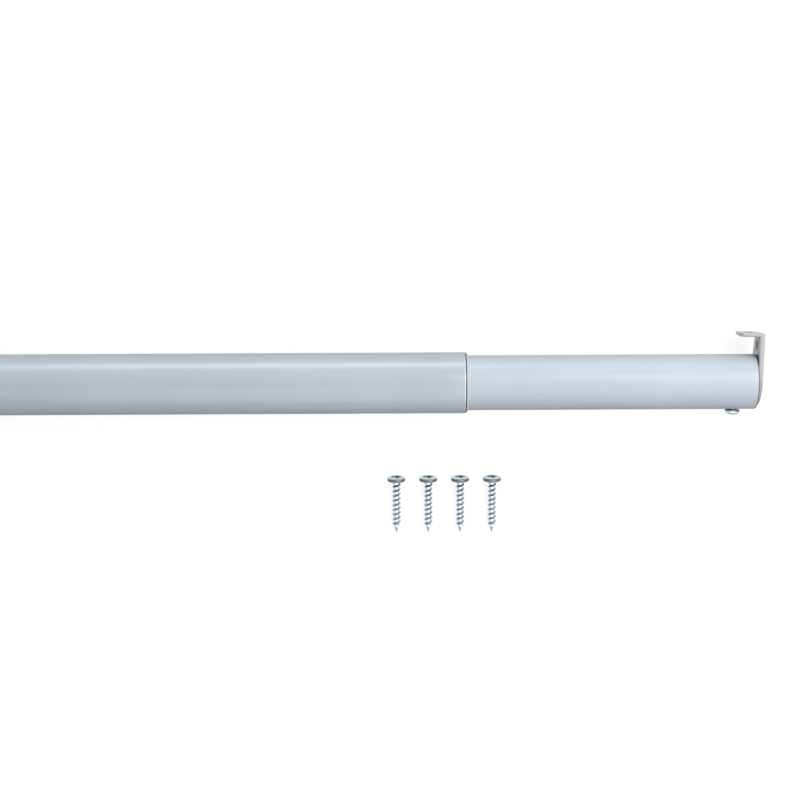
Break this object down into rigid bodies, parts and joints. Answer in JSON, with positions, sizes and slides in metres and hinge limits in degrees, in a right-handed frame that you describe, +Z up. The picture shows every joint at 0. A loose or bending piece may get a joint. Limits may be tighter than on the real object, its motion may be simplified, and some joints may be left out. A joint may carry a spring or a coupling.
{
  "type": "adjustable closet rod",
  "caption": "Telescoping round metal closet rod with a wall-and-shelf bracket in each end and loose mounting screws beside it.",
  "frame": {"origin": "on the rod's axis, on the wall face of the outer bracket", "axes": "+X along the rod to the inner tube's end, +Y to the bracket tabs, which is up once the rod hangs, +Z up from the surface it lies on"},
  "size_m": [0.59, 0.1073, 0.0318],
  "materials": {
    "tube_paint": "satin silver paint on thin steel tube",
    "bracket_paint": "semi-gloss neutral grey paint on sheet steel",
    "zinc": "bright bluish zinc plate on steel screws",
    "nylon": "natural white nylon"
  },
  "bodies": {
    "outer_half": {"outer_tube": "tube_paint", "mouth_bush": "nylon", "mounting_screw_1": "zinc", "mounting_screw_2": "zinc", "mounting_screw_3": "zinc", "mounting_screw_4": "zinc"},
    "outer_end": {"outer_bracket": "bracket_paint", "outer_bracket_screw": "zinc"},
    "slider": {"tail_guide": "nylon"},
    "inner_half": {"inner_tube": "tube_paint"},
    "inner_end": {"inner_bracket": "bracket_paint", "inner_bracket_screw": "zinc"}
  },
  "joints": [
    {"name": "rod_slide", "type": "slide", "parent": "outer_half", "child": "slider", "axis": [1, 0, 0], "range_m": [-0.132, 0.1728]},
    {"name": "rod_turn", "type": "hinge", "parent": "slider", "child": "inner_half", "pos_m": [0.1608, 0, 0], "axis": [1, 0, 0], "continuous": true},
    {"name": "outer_bracket_rock", "type": "hinge", "parent": "outer_half", "child": "outer_end", "pos_m": [0.0024, 0.0155, 0], "axis": [0, 0, 1], "range_deg": [0, 4]},
    {"name": "inner_bracket_rock", "type": "hinge", "parent": "inner_half", "child": "inner_end", "pos_m": [0.5868, 0.01391, 0], "axis": [0, 0, 1], "range_deg": [0, 4]}
  ]
}
